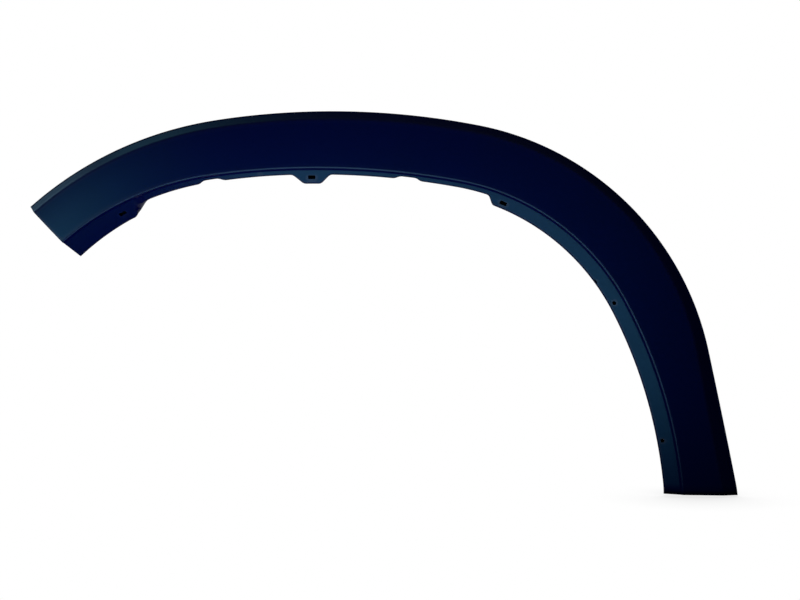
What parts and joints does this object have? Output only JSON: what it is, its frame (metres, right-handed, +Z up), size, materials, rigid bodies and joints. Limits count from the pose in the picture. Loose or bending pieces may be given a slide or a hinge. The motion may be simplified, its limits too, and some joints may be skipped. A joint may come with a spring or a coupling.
{
  "type": "wheel arch moulding",
  "caption": "Black moulded strip that trims the edge of a car's front left wheel opening, with a bevelled outer edge and a slanted inner flange with clip slots and screw holes.",
  "frame": {"origin": "centre of the crown tab's clip slot, on the outer side of the flange", "axes": "+X towards the rear of the car, +Y in towards the body, +Z up; as fitted at the front left wheel"},
  "size_m": [0.8663, 0.0538, 0.4656],
  "materials": {
    "black_polypropylene": "fine moulded grain, satin black with a cold blue sheen"
  },
  "bodies": {
    "root": {"arch_moulding": "black_polypropylene"}
  },
  "joints": []
}
